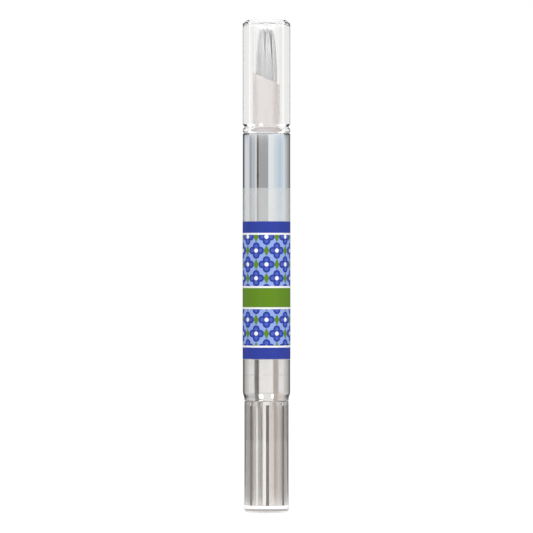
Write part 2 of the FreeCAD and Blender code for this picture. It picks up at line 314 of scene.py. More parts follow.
sleeve_outline = rounded(
    (shank_radius, groove_top),
    (shank_radius, flange_bottom),
    (flange_radius, flange_bottom, sleeve_rounding),
    (flange_radius, flange_top, sleeve_rounding),
    (hub_radius, flange_top),
    (hub_radius, hub_top),
    (head_radius, hub_top),
    (head_radius, head_top, sleeve_rounding),
    (0, head_top),
)[:-1]
sleeve_rings = [groove_ring(sleeve_foot), groove_ring(groove_top)]
sleeve_rings += [ring(point, sleeve_count) for point in sleeve_outline]
sleeve_rings += [key_ring(head_top), key_ring(key_bottom)]
sleeve_rings.append(ring((sleeve_bore, key_bottom), sleeve_count))
sleeve_rings.append(ring((sleeve_bore, sleeve_foot), sleeve_count))
sleeve = skin("silvered_drive_sleeve", sleeve_rings, loop=True)
for face in sleeve.data.polygons[:sleeve_count]:
    in_groove = face.index % (groove_steps + land_steps) < groove_steps
    face.material_index = 1 if in_groove else 0
fit(sleeve, "knob", "drive_sleeve", "silvered_plastic", silvered_plastic, bare_plastic)


# Pawl ring: a small acetal ring keyed to the sleeve's hub, with three springy arms.
# It is moulded in white acetal, which is waxy and slightly mottled.
mottle_width = 0.8 * mm
white_acetal, tree, shader, place = finish_of("moulded_acetal", {"Roughness": 0.38, "IOR": 1.48})
mottle = add(tree, "ShaderNodeTexNoise", {"Vector": place, "Scale": 1 / mottle_width, "Detail": 4.0})
shade = add(tree, "ShaderNodeMix", {
    "Factor": mottle.outputs["Fac"],
    "A": linear("#efeee9"),
    "B": linear("#f8f7f3"),
}, data_type="RGBA")
tree.links.new(shade.outputs["Result"], shader.inputs["Base Color"])
grain = add(tree, "ShaderNodeBump", {
    "Height": mottle.outputs["Fac"],
    "Strength": 0.1,
    "Distance": 0.02 * mm,
})
tree.links.new(grain.outputs["Normal"], shader.inputs["Normal"])


def finish_node(node, material):
    """Give a node that stays as it is the finish of its real material."""
    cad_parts[node].material_slots[0].material = material


finish_node("pawl_ring", white_acetal)


# End bush: a silver-plated bush pressed tight into the barrel's lower end, where it carries the
# drive sleeve. It shows through the clear barrel under the label.
bush_low, bush_high = (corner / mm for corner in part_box("end_bush"))
barrel_bore = 5.0
bush_radius = barrel_bore + wetted
bush_bore = shank_radius + running_gap
bush_rounding = 0.04
parting_gap = 0.02
bush_bottom = bush_low.z + parting_gap
turned_count = 192


def turned(name, *outline, loop=True):
    """A piece turned about the pen's axis from an outline of (radius, height, rounding) corners."""
    return skin(name, [ring(point, turned_count) for point in rounded(*outline)], loop)


bush = turned(
    "silvered_end_bush",
    (bush_bore, bush_bottom),
    (bush_radius, bush_bottom, bush_rounding),
    (bush_radius, bush_high.z, bush_rounding),
    (bush_bore, bush_high.z),
)
fit(bush, "barrel", "end_bush", "silvered_plastic", silvered_plastic)


# Ratchet ring: a plated ring pressed in above the bush, on which its skirt stands round the
# sleeve's flange. Fifteen saw teeth inside it let the pawls click round one way only.
ratchet_low, ratchet_high = (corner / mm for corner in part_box("ratchet_ring"))
tooth_count = 15
tooth_steps = 12
tooth_tip = 4.08
tooth_root = 4.48
tooth_fall = 0.2
flange_play = 0.1
tooth_bottom = flange_top + flange_play
skirt_gap = 0.12
skirt_bore = flange_radius + skirt_gap
ratchet_count = tooth_count * tooth_steps


def saw_ring(height):
    """A ring round the saw teeth: each rises slowly from its root to its tip and drops back."""
    points = []
    for step in range(ratchet_count):
        share = step % tooth_steps / (tooth_steps - tooth_fall)
        radius = tooth_root + (tooth_tip - tooth_root) * share
        points.append(around(radius, 2 * math.pi * step / ratchet_count, height))
    return points


ratchet_rings = [saw_ring(tooth_bottom)]
for point in rounded(
    (skirt_bore, tooth_bottom),
    (skirt_bore, ratchet_low.z),
    (bush_radius, ratchet_low.z, bush_rounding),
    (bush_radius, ratchet_high.z, bush_rounding),
    (tooth_root, ratchet_high.z),
)[:-1]:
    ratchet_rings.append(ring(point, ratchet_count, -front))
ratchet_rings.append(saw_ring(ratchet_high.z))
ratchet = skin("silvered_ratchet_ring", ratchet_rings, loop=True)
fit(ratchet, "barrel", "ratchet_ring", "silvered_plastic", silvered_plastic)


# Lead screw: a moulded acetal rod with a stop at its foot, two flats and a barbed head.
# The right-hand thread on its round sides climbs 2 mm a turn through the nut.
screw_low, screw_high = (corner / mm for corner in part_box("lead_screw"))
stop_radius = screw_high.x
stop_height = 1.0
stop_rounding = 0.15
stop_top = screw_low.z + stop_height
screw_radius = 1.95
screw_flat = 1.45
thread_depth = 0.3
thread_lead = 2.0
thread_run_out = 0.5
rings_per_turn = 10
screw_count = 60
screw_shoulder = 48.95
neck_radius = 1.15
neck_height = 1.1
neck_top = screw_shoulder + neck_height
barb_radius = 1.6
barb_rounding = 0.1
nose_rounding = 0.2


def thread_ring(height, crest, depth, bottom, top):
    """A ring round a helical thread, whose grooves fade out at both ends."""
    fade = min(1, (height - bottom) / thread_run_out, (top - height) / thread_run_out)
    points = []
    for step in range(screw_count):
        share = step / screw_count
        wave = 0.5 + 0.5 * math.cos(2 * math.pi * (height / thread_lead - share))
        points.append(around(crest - depth * fade * wave, front + 2 * math.pi * share, height))
    return points


def flatted(points):
    """The ring cut by the screw's two flats."""
    return [(x, max(-screw_flat, min(screw_flat, y)), z) for x, y, z in points]


screw_rings = [ring(point, screw_count) for point in rounded(
    (0, screw_low.z),
    (stop_radius, screw_low.z, stop_rounding),
    (stop_radius, stop_top, stop_rounding),
    (screw_radius, stop_top),
)[:-1]]
thread_rings = round((screw_shoulder - stop_top) / thread_lead * rings_per_turn)
for step in range(thread_rings + 1):
    height = stop_top + (screw_shoulder - stop_top) * step / thread_rings
    thread = thread_ring(height, screw_radius, thread_depth, stop_top, screw_shoulder)
    screw_rings.append(flatted(thread))
screw_rings += [ring(point, screw_count) for point in rounded(
    (neck_radius, screw_shoulder),
    (neck_radius, neck_top),
    (barb_radius, neck_top, barb_rounding),
    (neck_radius, screw_high.z, nose_rounding),
    (0, screw_high.z),
)]
screw = skin("threaded_lead_screw", screw_rings)
fit(screw, "screw", "lead_screw", "white_acetal", white_acetal)


# Drive nut: an acetal moulding pressed into the barrel on top of the ratchet ring. Its lower bore
# clears the sleeve's head, and the screw climbs through its upper one.
finish_node("drive_nut", white_acetal)


# Piston: a soft polyethylene plunger snapped on the screw's head, with two lips that wipe the
# bore. The waxy plastic has a fine, soft grain from its mould.
white_polyethylene, tree, shader, place = finish_of("moulded_polyethylene", {
    "Base Color": linear("#f1f1ee"),
    "IOR": 1.51,
    "Subsurface Weight": 0.2,
    "Subsurface Radius": (0.4 * mm, 0.4 * mm, 0.4 * mm),
    "Subsurface Scale": 1.0,
})
wax = add(tree, "ShaderNodeTexNoise", {"Vector": place, "Scale": 1 / mottle_width, "Detail": 3.0})
wax = add(tree, "ShaderNodeMapRange", {"Value": wax.outputs["Fac"], "To Min": 0.4, "To Max": 0.6})
tree.links.new(wax.outputs["Result"], shader.inputs["Roughness"])
finish_node("piston", white_polyethylene)


# Barrel: a clear styrene-acrylonitrile tube that holds the oil, moulded with a neck for the
# collar and a short taper down to the knob. Its lower end shows the plated bush inside.
barrel_low, barrel_high = (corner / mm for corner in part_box("barrel"))
body_radius = barrel_high.x
neck_outside = 5.78
collar_low, collar_high = (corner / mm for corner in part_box("collar"))
foot_height = 0.65
taper_height = 1.4
taper_bottom = barrel_low.z + foot_height
taper_top = taper_bottom + taper_height
taper_rounding = 0.6
foot_rounding = 0.15
edge_rounding = 0.1
neck_foot = collar_low.z - parting_gap
barrel = turned(
    "clear_barrel",
    (barrel_bore, barrel_low.z, edge_rounding),
    (knob_radius, barrel_low.z, foot_rounding),
    (knob_radius, taper_bottom, taper_rounding),
    (body_radius, taper_top, taper_rounding),
    (body_radius, neck_foot, edge_rounding),
    (neck_outside, neck_foot),
    (neck_outside, barrel_high.z),
    (barrel_bore, barrel_high.z),
)
fit(barrel, "barrel", "barrel", "clear_styrene", clear_plastic)


# Collar: an aluminium sleeve drawn from thin sheet, polished and clear-anodised. It is pressed
# over the barrel's neck and staked there by six shallow dents, and its rim is rolled in to hold
# the nozzle's shoulder down.
collar_wall = 0.4
collar_lip = 0.5
collar_rim = 0.45
collar_mouth = 4.11
shoulder_top = collar_high.z - collar_lip
stake_count = 6
stake_turn = math.radians(-22.5)
stake_height = 87.8
stake_radius = 0.9
stake_depth = 0.008
stake_steps = 16

# Polished aluminium: a clear mirror, with very fine lengthwise streaks left by drawing.
streak_width = 0.25 * mm
streak_length = 12 * mm
polished_aluminium, tree, shader, place = finish_of("polished_aluminium", {
    "Base Color": linear("#eef0f1"),
    "Metallic": 1.0,
})
stretched = add(tree, "ShaderNodeMapping", {
    "Vector": place,
    "Scale": (1 / streak_width, 1 / streak_width, 1 / streak_length),
})
streaks = add(tree, "ShaderNodeTexNoise", {
    "Vector": stretched.outputs["Vector"],
    "Scale": 1.0,
    "Detail": 2.0,
})
polish = add(tree, "ShaderNodeMapRange", {"Value": streaks.outputs["Fac"], "To Min": 0.03, "To Max": 0.1})
tree.links.new(polish.outputs["Result"], shader.inputs["Roughness"])

stake_reach = 2 * stake_radius
stake_levels = []
for step in range(stake_steps + 1):
    stake_levels.append(stake_height + stake_reach * (2 * step / stake_steps - 1))
collar = turned(
    "polished_collar",
    (body_radius - collar_wall, collar_low.z),
    (body_radius, collar_low.z, edge_rounding),
    *[(body_radius, level) for level in stake_levels],
    (body_radius, collar_high.z, collar_rim),
    (collar_mouth, collar_high.z, edge_rounding),
    (collar_mouth, shoulder_top, edge_rounding),
    (body_radius - collar_wall, shoulder_top),
)
for number in range(stake_count):
    bearing = front + stake_turn + 2 * math.pi * number / stake_count
    middle = Vector(around(body_radius, bearing, stake_height)) * mm
    for vertex in collar.data.vertices:
        away = (vertex.co - middle).length / (stake_radius * mm)
        vertex.co.xy *= 1 - stake_depth / body_radius * math.exp(-2 * away**2)
fit(collar, "barrel", "collar", "silver_aluminium", polished_aluminium)


# Nozzle seal: a flat ring of black nitrile rubber squeezed between the nozzle's shoulder and
# the barrel's mouth. Moulded rubber is matt, with a fine speckle.
speckle_width = 0.2 * mm
nitrile_rubber, tree, shader, place = finish_of("nitrile_rubber", {"Roughness": 0.7, "IOR": 1.52})
speckle = add(tree, "ShaderNodeTexNoise", {"Vector": place, "Scale": 1 / speckle_width, "Detail": 2.0})
shade = add(tree, "ShaderNodeMix", {
    "Factor": speckle.outputs["Fac"],
    "A": linear("#1c1c1c"),
    "B": linear("#2c2c2c"),
}, data_type="RGBA")
tree.links.new(shade.outputs["Result"], shader.inputs["Base Color"])
finish_node("nozzle_seal", nitrile_rubber)


# Applicator nozzle: a natural polypropylene moulding with a plug, a shoulder under the collar,
# a seat ring that the cap grips, and a tube cut on a slant round the bristles.
nozzle_low, nozzle_high = (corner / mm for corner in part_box("applicator_nozzle"))
nozzle_bore = 2.84
nozzle_radius = 3.49
nozzle_slant = math.radians(25.2)
rear_bore = 3.14
rear_height = 3.9
rear_top = collar_high.z + rear_height
plug_radius = 4.98
plug_rounding = 0.2
shoulder_height = 1.0
shoulder_bottom = shoulder_top - shoulder_height
shoulder_face = shoulder_top - parting_gap
seat_radius = 4.09
seat_height = 1.1
seat_top = collar_high.z + seat_height
seat_rounding = 0.15
tube_rounding = 0.3
lip_rounding = 0.12

# Natural polypropylene: milky and a little translucent, with a smooth, softly glossy skin.
milky_polypropylene, tree, shader, place = finish_of("natural_polypropylene", {
    "IOR": 1.49,
    "Subsurface Weight": 0.25,
    "Subsurface Radius": (0.9 * mm, 0.7 * mm, 0.6 * mm),
    "Subsurface Scale": 1.0,
})
milk_width = 2.5 * mm
milk = add(tree, "ShaderNodeTexNoise", {"Vector": place, "Scale": 1 / milk_width, "Detail": 3.0})
shade = add(tree, "ShaderNodeMix", {
    "Factor": milk.outputs["Fac"],
    "A": linear("#f5ecea"),
    "B": linear("#faf3f1"),
}, data_type="RGBA")
tree.links.new(shade.outputs["Result"], shader.inputs["Base Color"])
gloss = add(tree, "ShaderNodeMapRange", {"Value": milk.outputs["Fac"], "To Min": 0.08, "To Max": 0.13})
tree.links.new(gloss.outputs["Result"], shader.inputs["Roughness"])


def slanted(points):
    """The ring lowered towards the right, in proportion to its height up the slant-cut tube."""
    moved = []
    for x, y, z in points:
        cut = (x + nozzle_radius) * math.tan(nozzle_slant)
        share = max(0, (z - rear_top) / (nozzle_high.z - rear_top))
        moved.append((x, y, z - cut * share))
    return moved


nozzle_outline = rounded(
    (rear_bore, nozzle_low.z),
    (plug_radius, nozzle_low.z, plug_rounding),
    (plug_radius, shoulder_bottom),
    (neck_outside, shoulder_bottom, edge_rounding),
    (neck_outside, shoulder_face, edge_rounding),
    (seat_radius, shoulder_face),
    (seat_radius, seat_top, seat_rounding),
    (nozzle_radius, seat_top, tube_rounding),
    (nozzle_radius, rear_top),
    (nozzle_radius, nozzle_high.z, lip_rounding),
    (nozzle_bore, nozzle_high.z, lip_rounding),
    (nozzle_bore, rear_top),
    (rear_bore, rear_top),
)
nozzle_rings = [slanted(ring(point, turned_count)) for point in nozzle_outline]
nozzle = skin("slant_cut_nozzle", nozzle_rings, loop=True)
fit(nozzle, "barrel", "applicator_nozzle", "natural_polypropylene", milky_polypropylene)


# Tuft retainer and feed tube: two small polypropylene mouldings behind the bristles. The retainer
# is pressed into the nozzle, and the tube through it takes the oil up into the tuft.
finish_node("tuft_retainer", milky_polypropylene)
finish_node("feed_tube", milky_polypropylene)


# Bristle tuft: some hundreds of fine nylon filaments, fused to a button at the root and trimmed
# to a rounded tip. They run straight out of the nozzle and draw together in small locks.
tuft_low, tuft_high = (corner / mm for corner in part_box("bristle_tuft"))
root_radius = tuft_high.x
root_bore = 0.8
root_top = rear_top
root_rounding = 0.3
tuft_radius = 2.73
filament_count = 560
filament_radius = 0.09
filament_tip_radius = 0.025
filament_sides = 5
filament_steps = 12
filament_crowding = 1.6
draw_in_from = 112.0
draw_in = 0.3
crown_middle = -0.4
crown_drop = 0.17
lock_count = 13
lock_pull = 0.8
lock_turn = 0.6
sway_spread = 0.06
trim_spread = 0.45
golden_turn = math.pi * (3 - math.sqrt(5))

# Nylon filament: grey-white and satin. Its base colour runs lighter and darker in lengthwise streaks about
# 0.5 mm wide: a painted sheen that stands in for locks catching the light differently.
sheen_streak_width = 0.5 * mm
sheen_streak_length = 30 * mm
nylon_filament, tree, shader, place = finish_of("nylon_filament", {
    "Roughness": 0.35,
    "IOR": 1.53,
})
stretched = add(tree, "ShaderNodeMapping", {
    "Vector": place,
    "Scale": (1 / sheen_streak_width, 1 / sheen_streak_width, 1 / sheen_streak_length),
})
streaks = add(tree, "ShaderNodeTexNoise", {
    "Vector": stretched.outputs["Vector"],
    "Scale": 1.0,
    "Detail": 2.0,
})
# Painted sheen: the streaks take the base colour from grey-white to white.
shade = add(tree, "ShaderNodeMix", {
    "Factor": streaks.outputs["Fac"],
    "A": linear("#e6e6e7"),
    "B": linear("#ffffff"),
}, data_type="RGBA")
tree.links.new(shade.outputs["Result"], shader.inputs["Base Color"])

dice = random.Random(7)
locks = []
for number in range(lock_count):
    reach = tuft_radius * (1 - draw_in) * math.sqrt((number + 0.5) / lock_count)
    locks.append(Vector(around(reach, golden_turn * number + lock_turn, 0)))
vertices = []
faces = []


def add_filament(number):
    """Add one filament to the bundle: a five-sided tube that thins over its last third."""
    reach = tuft_radius * math.sqrt((number + 0.5) / filament_count)
    foot = Vector(around(reach, golden_turn * number, 0))
    end = foot * (1 - draw_in)
    lock = min(locks, key=lambda middle: (middle - end).length)
    sway = Vector((dice.gauss(0, sway_spread), dice.gauss(0, sway_spread), 0))
    drop = crown_drop * ((end.x - crown_middle) ** 2 + end.y**2)
    tip = tuft_high.z - drop - abs(dice.gauss(0, trim_spread))
    start = len(vertices)
    for step in range(filament_steps + 1):
        share = step / filament_steps
        height = root_top + (tip - root_top) * (1 - (1 - share) ** filament_crowding)
        drawn = max(0, (height - draw_in_from) / (tuft_high.z - draw_in_from))
        middle = foot * (1 - draw_in * drawn**3)
        middle += (lock - end) * (lock_pull * drawn**2) + sway * drawn**2
        thin = filament_radius + (filament_tip_radius - filament_radius) * max(0, share * 3 - 2)
        for side in range(filament_sides):
            rim = around(thin, 2 * math.pi * side / filament_sides, height)
            vertices.append((middle + Vector(rim)) * mm)
        if step == 0:
            continue
        for side in range(filament_sides):
            low = start + (step - 1) * filament_sides
            high = low + filament_sides
            following = (side + 1) % filament_sides
            faces.append((low + side, low + following, high + following, high + side))
    last = start + filament_steps * filament_sides
    faces.append([last + side for side in range(filament_sides)])
    faces.append([start + side for side in reversed(range(filament_sides))])


for number in range(filament_count):
    add_filament(number)
bundle = bpy.data.meshes.new("nylon_bristles")
bundle.from_pydata(vertices, [], faces)
bundle.shade_smooth()
bristles = bpy.data.objects.new("nylon_bristles", bundle)
bpy.context.scene.collection.objects.link(bristles)
fit(bristles, "barrel", "bristle_tuft", "nylon_filament", nylon_filament)

button = turned(
    "fused_tuft_root",
    (root_bore, tuft_low.z),
    (root_radius, tuft_low.z, edge_rounding),
    (root_radius, root_top, root_rounding),
    (root_bore, root_top),
)
button.data.materials.append(nylon_filament)
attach(button, "barrel")


# Label film: a clear polypropylene film, wrapped once round the barrel and the collar's foot and
# stuck down with a seam at the back. It is frosted above and below the print.
film_low, film_high = (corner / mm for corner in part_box("label_film"))
film_outside = film_high.x
glue_gap = 0.006
film_inside = body_radius + glue_gap
film_seam = 0.6
print_margin = 0.25
print_bottom = film_low.z + print_margin
print_top = 76.0
film_steps = 200
seam_angle = film_seam / film_outside

# Frosted film: a thin, milky veil with a soft grain. Light crosses its two faces on the way in
# and on the way out, so each face hides only a little.
frost_width = 0.15 * mm
frosted_film, tree, shader, place = finish_of("frosted_polypropylene_film", {
    "Base Color": linear("#f6f6f4"),
    "Alpha": 0.15,
    "IOR": 1.49,
})
frost = add(tree, "ShaderNodeTexNoise", {"Vector": place, "Scale": 1 / frost_width, "Detail": 2.0})
frost = add(tree, "ShaderNodeMapRange", {"Value": frost.outputs["Fac"], "To Min": 0.45, "To Max": 0.6})
tree.links.new(frost.outputs["Result"], shader.inputs["Roughness"])

# Printed film: flat inks under a satin varnish. The design is a trellis of four-petal rosettes
# and lozenges between plain bands.
ground_ink = linear("#96afee")
deep_ink = linear("#2f3fa0")
mid_ink = linear("#4a63c4")
leaf_ink = linear("#628b19")
paper_white = linear("#fbfbfb")
repeat_across = 2 * math.pi * film_outside / 7
repeat_up = 7.2
petal_reach = 1.15
petal_radius = 1.0
petal_heart_radius = 0.5
eye_radius = 0.55
lozenge_height = 1.5
lozenge_slimness = 2.0
edge_band = 3.0
white_line = 0.5
leaf_bottom = print_bottom + 13.5
leaf_top = leaf_bottom + 5.0
printed_film, tree, shader, place = finish_of("printed_polypropylene_film", {
    "IOR": 1.5,
    "Specular IOR Level": 0.2,
})
parts = add(tree, "ShaderNodeSeparateXYZ", {"Vector": place})
forward = add(tree, "ShaderNodeMath", {0: parts.outputs["Y"], 1: -1.0}, operation="MULTIPLY")
turn = add(tree, "ShaderNodeMath", {0: parts.outputs["X"], 1: forward.outputs[0]}, operation="ARCTAN2")
across = add(tree, "ShaderNodeMath", {0: turn.outputs[0], 1: film_outside}, operation="MULTIPLY")
rise = add(tree, "ShaderNodeMath", {0: parts.outputs["Z"], 1: 1 / mm}, operation="MULTIPLY")
spot = add(tree, "ShaderNodeCombineXYZ", {"X": across.outputs[0], "Y": rise.outputs[0]})


def repeat(shift_across, shift_up):
    """The distances from the middle of the nearest motif of a grid, sideways and up."""
    moved = add(tree, "ShaderNodeVectorMath", {
        0: spot.outputs[0],
        1: (shift_across * repeat_across, shift_up * repeat_up, 0),
    }, operation="ADD")
    cell = (repeat_across, repeat_up, 1)
    snapped = add(tree, "ShaderNodeVectorMath", {0: moved.outputs[0], 1: cell}, operation="SNAP")
    local = add(tree, "ShaderNodeVectorMath", {
        0: moved.outputs[0],
        1: snapped.outputs[0],
    }, operation="SUBTRACT")
    half_cell = (repeat_across / 2, repeat_up / 2, 0)
    centred = add(tree, "ShaderNodeVectorMath", {0: local.outputs[0], 1: half_cell}, operation="SUBTRACT")
    return add(tree, "ShaderNodeVectorMath", {0: centred.outputs[0]}, operation="ABSOLUTE").outputs[0]


def inside(offset, middle, radius):
    """A mask of the disc round a point of a motif."""
    away = add(tree, "ShaderNodeVectorMath", {0: offset, 1: middle}, operation="DISTANCE")
    mask = add(tree, "ShaderNodeMath", {0: away.outputs["Value"], 1: radius}, operation="LESS_THAN")
    return mask.outputs[0]


def inked(under, mask, ink):
    """The print with one more ink laid where the mask is."""
    laid = add(tree, "ShaderNodeMix", {"Factor": mask, "A": under, "B": ink}, data_type="RGBA")
    return laid.outputs["Result"]


artwork = ground_ink
for shift in (0, 0.5):
    offset = repeat(shift, shift)
    for middle in ((petal_reach, 0, 0), (0, petal_reach, 0)):
        artwork = inked(artwork, inside(offset, middle, petal_radius), deep_ink)
    for middle in ((petal_reach, 0, 0), (0, petal_reach, 0)):
        artwork = inked(artwork, inside(offset, middle, petal_heart_radius), mid_ink)
    artwork = inked(artwork, inside(offset, (0, 0, 0), eye_radius), paper_white)
for shift in (0, 0.5):
    offset = repeat(shift, shift + 0.5)
    slim = add(tree, "ShaderNodeVectorMath", {0: offset, 1: (lozenge_slimness, 1, 0)}, operation="MULTIPLY")
    size = add(tree, "ShaderNodeVectorMath", {0: slim.outputs[0], 1: (1, 1, 0)}, operation="DOT_PRODUCT")
    lozenge = add(tree, "ShaderNodeMath", {
        0: size.outputs["Value"],
        1: lozenge_height,
    }, operation="LESS_THAN")
    artwork = inked(artwork, lozenge.outputs[0], leaf_ink)
bands = (
    (print_bottom, deep_ink),
    (print_bottom + edge_band, paper_white),
    (print_bottom + edge_band + white_line, None),
    (leaf_bottom - white_line, paper_white),
    (leaf_bottom, leaf_ink),
    (leaf_top, paper_white),
    (leaf_top + white_line, None),
    (print_top - edge_band - white_line, paper_white),
    (print_top - edge_band, deep_ink),
)
for number, (bottom, ink) in enumerate(bands):
    if ink is None:
        continue
    top = bands[number + 1][0] if number + 1 < len(bands) else print_top
    middle = (bottom + top) / 2
    from_middle = add(tree, "ShaderNodeMath", {0: rise.outputs[0], 1: middle}, operation="SUBTRACT")
    away = add(tree, "ShaderNodeMath", {0: from_middle.outputs[0]}, operation="ABSOLUTE")
    band = add(tree, "ShaderNodeMath", {0: away.outputs[0], 1: (top - bottom) / 2}, operation="LESS_THAN")
    artwork = inked(artwork, band.outputs[0], ink)
tree.links.new(artwork, shader.inputs["Base Color"])
varnish_width = 0.3 * mm
varnish = add(tree, "ShaderNodeTexNoise", {"Vector": place, "Scale": 1 / varnish_width, "Detail": 2.0})
varnish = add(tree, "ShaderNodeMapRange", {"Value": varnish.outputs["Fac"], "To Min": 0.4, "To Max": 0.5})
tree.links.new(varnish.outputs["Result"], shader.inputs["Roughness"])


def film_line(radius, height):
    """A line round the film from one side of its seam to the other, past the front."""
    start = -front + seam_angle / 2
    sweep = 2 * math.pi - seam_angle
    return [around(radius, start + sweep * step / film_steps, height) for step in range(film_steps + 1)]


# Four lines up the outside and four down the inside: the print lies between the middle two.
levels = (film_low.z, print_bottom, print_top, film_high.z)
lines = [film_line(film_outside, height) for height in levels]
lines += [film_line(film_inside, height) for height in reversed(levels)]
vertices = [Vector(point) * mm for line in lines for point in line]
faces = []
kinds = []
for level in range(len(lines)):
    first = level * (film_steps + 1)
    second = (level + 1) % len(lines) * (film_steps + 1)
    for step in range(film_steps):
        faces.append((first + step, first + step + 1, second + step + 1, second + step))
        kinds.append(1 if level in (1, 5) else 0)
for end in (0, film_steps):
    side = [level * (film_steps + 1) + end for level in range(len(lines))]
    for number in range(len(levels) - 1):
        faces.append((side[number], side[number + 1], side[-2 - number], side[-1 - number]))
        kinds.append(number % 2)
label = mesh_piece("wrapped_label", vertices, faces)
label.data.polygons.foreach_set("material_index", kinds)
fit(label, "barrel", "label_film", "printed_film", frosted_film, printed_film)


# Cap: a clear styrene-acrylonitrile moulding with a thick wall and a chamfered top. Its land
# grips the nozzle's seat ring, and a groove above the rounded mouth gives the fingers a hold.
cap_low, cap_high = (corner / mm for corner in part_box("cap"))
cap_bore = 4.41
cap_land = 4.14
cap_land_top = cap_low.z + 1.15
cap_lead_in = 0.27
cap_ceiling = cap_high.z - 1.3
cap_groove = cap_low.z + 1.6
cap_groove_depth = 0.55
cap_groove_half = 0.65
cap_chamfer_height = 0.95
cap_chamfer_width = 1.15
cap_mouth_rounding = 0.45
cap_bead_rounding = 0.3
cap_top_rounding = 0.3
cap_ceiling_rounding = 0.3
cap_shoulder_rounding = 0.12
cap = turned(
    "clear_cap",
    (0, cap_ceiling),
    (cap_bore, cap_ceiling, cap_ceiling_rounding),
    (cap_bore, cap_land_top + cap_lead_in, edge_rounding),
    (cap_land, cap_land_top, edge_rounding),
    (cap_land, cap_low.z, edge_rounding),
    (body_radius, cap_low.z, cap_mouth_rounding),
    (body_radius, cap_groove - cap_groove_half, cap_bead_rounding),
    (body_radius - cap_groove_depth, cap_groove, edge_rounding),
    (body_radius, cap_groove + cap_groove_half, cap_shoulder_rounding),
    (body_radius, cap_high.z - cap_chamfer_height, cap_shoulder_rounding),
    (body_radius - cap_chamfer_width, cap_high.z, cap_top_rounding),
    (0, cap_high.z),
    loop=False,
)
fit(cap, "cap", "cap", "clear_styrene", clear_plastic)


# Studio: a pale table and a plain white surround. Both look white to the camera and in
# reflections, while the table still takes the pen's shadow.
table_half = 3.0
table_white = 0.8
table = bpy.data.meshes.new("table")
table.from_pydata([
    (-table_half, -table_half, 0),
    (table_half, -table_half, 0),
    (table_half, table_half, 0),
    (-table_half, table_half, 0),
], [], [(0, 1, 2, 3)])
table_top = bpy.data.objects.new("table", table)
bpy.context.scene.collection.objects.link(table_top)


def seen_directly(tree):
    """1 where the camera sees a surface, straight on or through clear plastic or in a reflection."""
    path = tree.nodes.new("ShaderNodeLightPath")
    seen = add(tree, "ShaderNodeMath", {
        0: path.outputs["Is Camera Ray"],
        1: path.outputs["Is Glossy Ray"],
    }, operation="MAXIMUM")
    return add(tree, "ShaderNodeMath", {
        0: seen.outputs[0],
        1: path.outputs["Is Transmission Ray"],
    }, operation="MAXIMUM").outputs[0]


pale_table, tree, shader, place = finish_of("pale_table", {
    "Base Color": linear("#9c9c9c"),
    "Roughness": 0.9,
    "Emission Color": linear("#ffffff"),
})
table_glow = add(tree, "ShaderNodeMath", {0: seen_directly(tree), 1: table_white}, operation="MULTIPLY")
tree.links.new(table_glow.outputs[0], shader.inputs["Emission Strength"])
table.materials.append(pale_table)

ambient = 0.55
surround = bpy.data.worlds.new("white_surround")
surround.use_nodes = True
tree = surround.node_tree
strength = add(tree, "ShaderNodeMapRange", {
    "Value": seen_directly(tree),
    "To Min": ambient,
    "To Max": 1.0,
})
tree.links.new(strength.outputs["Result"], tree.nodes["Background"].inputs["Strength"])
tree.nodes["Background"].inputs["Color"].default_value = linear("#ffffff")
bpy.context.scene.world = surround
pen_middle = Vector((0, 0, 0.06))


def lamp(name, spot, size, power):
    """A square soft box that points at the middle of the pen."""
    light = bpy.data.lights.new(name, "AREA")
    light.size = size
    light.energy = power
    box = bpy.data.objects.new(name, light)
    box.location = spot
    aim = pen_middle - box.location
    box.rotation_euler = aim.to_track_quat("-Z", "Y").to_euler()
    bpy.context.scene.collection.objects.link(box)


lamp("left_soft_box", (-0.7, -0.9, 0.8), 0.7, 9)
lamp("right_soft_box", (0.8, -0.7, 0.7), 0.7, 7.5)


# Cards: strips that glow grey, brown and blue, stand round the pen and are hidden from the camera. No lamp
# lights them: each glows with fixed colours of its own, which are painted light. Polished metal and clear
# plastic show what is round them, and these give them their edges.
card_steps = 8


def card(name, start, end, sight, colour, end_colour=None, top_colour=None, reach=0.6, lean=0.0,
         seen="reflected"):
    """A curved card between two bearings, in degrees from the camera to the right of the picture.

    It glows with its own colours, which are painted light, and is seen in reflections, or through clear
    plastic. With a lean, its top stands further out.
    """
    vertices = []
    for step in range(card_steps + 1):
        bearing = front + math.radians(start + (end - start) * step / card_steps)
        vertices.append(around(reach, bearing, sight[0] * mm))
        vertices.append(around(reach + lean, bearing, sight[1] * mm))
    faces = [(2 * step, 2 * step + 2, 2 * step + 3, 2 * step + 1) for step in range(card_steps)]
    mesh = bpy.data.meshes.new(name)
    mesh.from_pydata(vertices, [], faces)
    tones = mesh.color_attributes.new("tone", "FLOAT_COLOR", "POINT")
    for number, tone in enumerate(tones.data):
        share = number // 2 / card_steps
        tone.color = Vector(linear(colour)).lerp(Vector(linear(end_colour or colour)), share)
        if top_colour and number % 2:
            tone.color = linear(top_colour)
    material = bpy.data.materials.new(name)
    material.use_nodes = True
    tree = material.node_tree
    # Painted light: the card glows with the colours in its tone layer, and no lamp lights it.
    paint = add(tree, "ShaderNodeVertexColor", {}, layer_name="tone")
    glow = add(tree, "ShaderNodeEmission", {"Color": paint.outputs["Color"]})
    tree.links.new(glow.outputs[0], tree.nodes["Material Output"].inputs["Surface"])
    mesh.materials.append(material)
    made = bpy.data.objects.new(name, mesh)
    bpy.context.scene.collection.objects.link(made)
    made.visible_camera = False
    made.visible_diffuse = False
    made.visible_shadow = False
    made.visible_glossy = "reflected" in seen
    made.visible_transmission = "through" in seen


